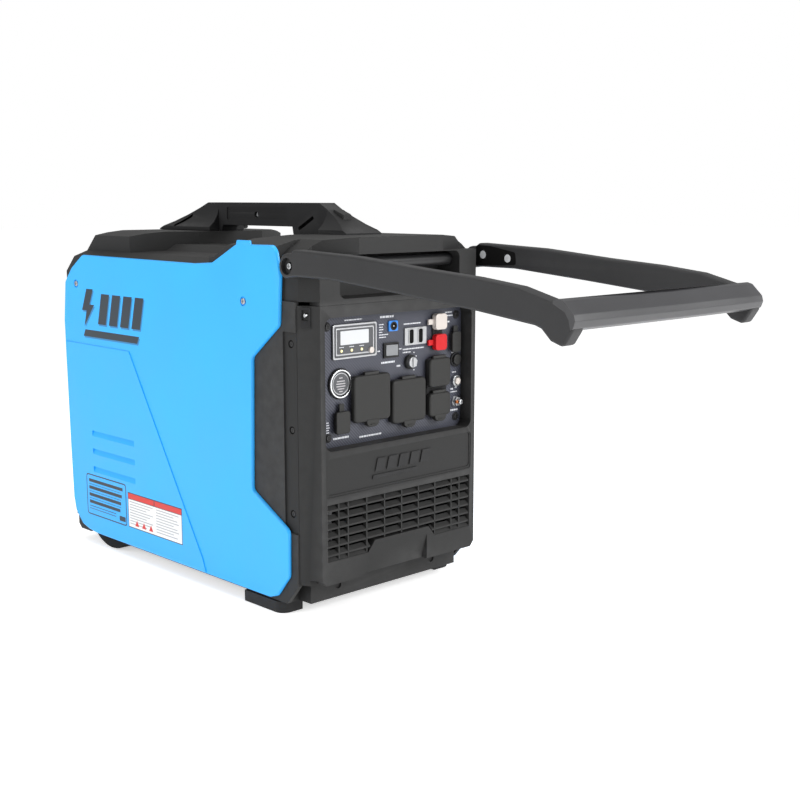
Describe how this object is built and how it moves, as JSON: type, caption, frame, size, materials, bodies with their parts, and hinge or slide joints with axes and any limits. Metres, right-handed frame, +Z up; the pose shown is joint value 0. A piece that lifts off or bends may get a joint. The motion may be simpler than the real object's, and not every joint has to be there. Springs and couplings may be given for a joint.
{
  "type": "inverter generator",
  "caption": "Enclosed portable inverter generator with blue side panels, recessed control panel, top carry handle, rear wheels and a fold-down pull handle.",
  "frame": {"origin": "on the ground under the middle of the whole bounding box, pull handle included", "axes": "+Z up; -Y is the control panel side, towards the pull handle; +X is to the right of a person who faces the control panel"},
  "size_m": [0.373, 1.078, 0.5645],
  "materials": {
    "blue_plastic": "satin moulded ABS, bright blue",
    "black_plastic": "fine-textured moulded black plastic",
    "soft_black_plastic": "matt black moulded plastic with a rough grain",
    "black_rubber": "matt black rubber",
    "tyre": "solid rubber wheel",
    "white_rubber": "matt white rubber",
    "red_rubber": "matt red rubber",
    "panel_plate": "printed plate with a fine woven pattern",
    "grey_plastic": "satin grey plastic",
    "blue_socket": "glossy blue plastic",
    "steel": "plain bright steel",
    "chrome": "polished chrome",
    "painted_steel": "satin black paint on steel",
    "handle_plastic": "glass-filled nylon with a fine grain, satin black",
    "alloy": "cast alloy",
    "copper": "varnished copper windings"
  },
  "bodies": {
    "housing": {"side_panel_left": "blue_plastic", "side_panel_right": "blue_plastic", "side_shell_left": "black_plastic", "side_shell_right": "black_plastic", "front_housing": "black_plastic", "intake_grille": "black_plastic", "top_cover": "black_plastic", "rear_cover": "black_plastic", "base_pan": "soft_black_plastic", "carry_handle": "soft_black_plastic", "rocker_frame": "soft_black_plastic", "parallel_port": "soft_black_plastic", "outlet_left": "soft_black_plastic", "outlet_middle": "soft_black_plastic", "outlet_right": "soft_black_plastic", "dc_socket": "soft_black_plastic", "latch_bracket_left": "soft_black_plastic", "latch_bracket_right": "soft_black_plastic", "fuel_tank": "soft_black_plastic", "starter_battery": "soft_black_plastic", "air_filter_box": "soft_black_plastic", "front_foot_left": "black_rubber", "front_foot_right": "black_rubber", "control_panel": "panel_plate", "dc_output_module": "blue_socket", "wheel_axle": "steel", "usb_module": "steel", "ground_terminal": "steel", "exhaust_outlet": "steel", "meter_module": "steel", "start_ring": "chrome", "handle_axle": "painted_steel", "muffler": "painted_steel", "engine_block": "alloy", "cylinder_head": "alloy", "inverter_module": "alloy", "stator": "copper"},
    "pull_handle": {"handle_arm_left": "handle_plastic", "handle_arm_right": "handle_plastic", "handle_grip": "soft_black_plastic"},
    "wheel_left": {"wheel_left": "tyre"},
    "wheel_right": {"wheel_right": "tyre"},
    "crank": {"crankshaft": "steel", "rotor": "steel", "cooling_fan": "soft_black_plastic"},
    "fuel_cap": {"fuel_cap": "soft_black_plastic"},
    "meter_button": {"meter_button": "white_rubber"},
    "start_button": {"start_button": "grey_plastic"},
    "rocker_switch": {"rocker_switch": "grey_plastic"},
    "selector_knob": {"selector_knob": "steel"},
    "reset_button": {"reset_button": "black_rubber"},
    "breaker_button": {"breaker_button": "steel"},
    "outlet_lid_left": {"outlet_lid_left": "black_rubber"},
    "outlet_lid_middle": {"outlet_lid_middle": "black_rubber"},
    "outlet_lid_upper_right": {"outlet_lid_upper_right": "black_rubber"},
    "outlet_lid_lower_right": {"outlet_lid_lower_right": "black_rubber"},
    "parallel_cap_white": {"parallel_cap_white": "white_rubber"},
    "parallel_cap_red": {"parallel_cap_red": "red_rubber"},
    "dc_cover": {"dc_cover": "black_rubber"},
    "aux_cover": {"aux_cover": "black_rubber"}
  },
  "joints": [
    {"name": "pull_handle_fold", "type": "hinge", "parent": "housing", "child": "pull_handle", "pos_m": [0, -0.0667, 0.4843], "axis": [1, 0, 0], "range_deg": [0, 80]},
    {"name": "wheel_left_spin", "type": "hinge", "parent": "housing", "child": "wheel_left", "pos_m": [-0.148, 0.432, 0.07], "axis": [1, 0, 0], "continuous": true},
    {"name": "wheel_right_spin", "type": "hinge", "parent": "housing", "child": "wheel_right", "pos_m": [0.148, 0.432, 0.07], "axis": [1, 0, 0], "continuous": true},
    {"name": "crank_spin", "type": "hinge", "parent": "housing", "child": "crank", "pos_m": [0, 0.187, 0.15], "axis": [0, 1, 0], "continuous": true},
    {"name": "fuel_cap_turn", "type": "hinge", "parent": "housing", "child": "fuel_cap", "pos_m": [0.072, 0.407, 0.5205], "axis": [0, 0, 1], "range_deg": [0, 90]},
    {"name": "meter_button_press", "type": "slide", "parent": "housing", "child": "meter_button", "axis": [0, 1, 0], "range_m": [0, 0.001], "stiffness_N_per_m": 400, "springref_m": -0.002},
    {"name": "start_button_press", "type": "slide", "parent": "housing", "child": "start_button", "axis": [0, 1, 0], "range_m": [0, 0.0022], "stiffness_N_per_m": 400, "springref_m": -0.002},
    {"name": "rocker_tilt", "type": "hinge", "parent": "housing", "child": "rocker_switch", "pos_m": [-0.0025, -0.0676, 0.36], "axis": [0, 0, 1], "range_deg": [0, 20]},
    {"name": "selector_knob_turn", "type": "hinge", "parent": "housing", "child": "selector_knob", "pos_m": [0.0345, -0.073, 0.34], "axis": [0, -1, 0], "range_deg": [-60, 60]},
    {"name": "reset_button_press", "type": "slide", "parent": "housing", "child": "reset_button", "axis": [0, 1, 0], "range_m": [0, 0.0015], "stiffness_N_per_m": 400, "springref_m": -0.002},
    {"name": "breaker_button_press", "type": "slide", "parent": "housing", "child": "breaker_button", "axis": [0, 1, 0], "range_m": [0, 0.003], "stiffness_N_per_m": 400, "springref_m": -0.002},
    {"name": "outlet_lid_left_hinge", "type": "hinge", "parent": "housing", "child": "outlet_lid_left", "pos_m": [-0.0465, -0.0744, 0.3323], "axis": [-1, 0, 0], "range_deg": [0, 95]},
    {"name": "outlet_lid_middle_hinge", "type": "hinge", "parent": "housing", "child": "outlet_lid_middle", "pos_m": [0.02525, -0.0744, 0.3193], "axis": [-1, 0, 0], "range_deg": [0, 95]},
    {"name": "outlet_lid_upper_right_hinge", "type": "hinge", "parent": "housing", "child": "outlet_lid_upper_right", "pos_m": [0.088, -0.0744, 0.3433], "axis": [-1, 0, 0], "range_deg": [0, 95]},
    {"name": "outlet_lid_lower_right_hinge", "type": "hinge", "parent": "housing", "child": "outlet_lid_lower_right", "pos_m": [0.088, -0.0744, 0.2923], "axis": [-1, 0, 0], "range_deg": [0, 95]},
    {"name": "parallel_cap_white_hinge", "type": "hinge", "parent": "housing", "child": "parallel_cap_white", "pos_m": [0.0705, -0.0717, 0.3945], "axis": [0, 0, -1], "range_deg": [0, 120]},
    {"name": "parallel_cap_red_hinge", "type": "hinge", "parent": "housing", "child": "parallel_cap_red", "pos_m": [0.0705, -0.0717, 0.3645], "axis": [0, 0, -1], "range_deg": [0, 120]},
    {"name": "dc_cover_hinge", "type": "hinge", "parent": "housing", "child": "dc_cover", "pos_m": [-0.099, -0.07245, 0.2937], "axis": [-1, 0, 0], "range_deg": [0, 95]},
    {"name": "aux_cover_hinge", "type": "hinge", "parent": "housing", "child": "aux_cover", "pos_m": [0.125, -0.07245, 0.3847], "axis": [-1, 0, 0], "range_deg": [0, 95]}
  ]
}
